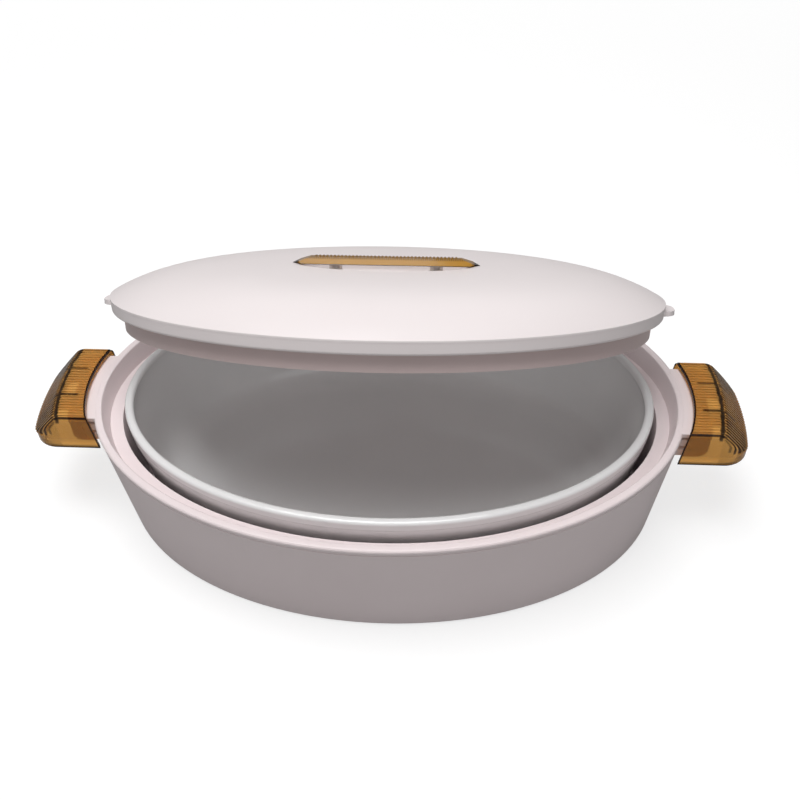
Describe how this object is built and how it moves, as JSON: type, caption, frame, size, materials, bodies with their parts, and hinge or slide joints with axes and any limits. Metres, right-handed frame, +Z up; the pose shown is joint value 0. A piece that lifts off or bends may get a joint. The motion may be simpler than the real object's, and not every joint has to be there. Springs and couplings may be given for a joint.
{
  "type": "insulated chapati casserole",
  "caption": "Oval insulated casserole: ceramic dish standing in a double wall body, ribbed clear handle covers, and a domed insulated lid hinged at the back with a clear grip bar.",
  "frame": {"origin": "centre of the flat base, on the surface that the casserole stands on", "axes": "+X along the long axis towards the right handle, +Y from the front to the hinge at the back, +Z up"},
  "size_m": [0.4122, 0.2395, 0.1825],
  "materials": {
    "body_plastic": "matte",
    "lid_plastic": "satin",
    "liner_plastic": "satin",
    "dish_glaze": "gloss",
    "clear_cover": "clear gloss",
    "steel": "satin",
    "foam": "rigid foam",
    "plug_plastic": "matte"
  },
  "bodies": {
    "base": {"outer_shell": "body_plastic", "filling_plug": "plug_plastic", "rim_and_well": "body_plastic", "body_foam": "foam", "serving_dish": "dish_glaze", "handle_cover_right": "clear_cover", "handle_cover_left": "clear_cover", "hinge_pin": "steel", "hinge_pin_cap": "plug_plastic", "hinge_washers": "plug_plastic"},
    "lid": {"lid_shell": "lid_plastic", "lid_liner": "liner_plastic", "lid_foam": "foam", "lid_grip": "clear_cover", "grip_screws": "steel", "lid_filling_plug": "plug_plastic"}
  },
  "joints": [
    {"name": "lid_hinge", "type": "hinge", "parent": "base", "child": "lid", "pos_m": [0, 0.1195, 0.077], "axis": [-1, 0, 0], "range_deg": [-26.1, 60]}
  ]
}
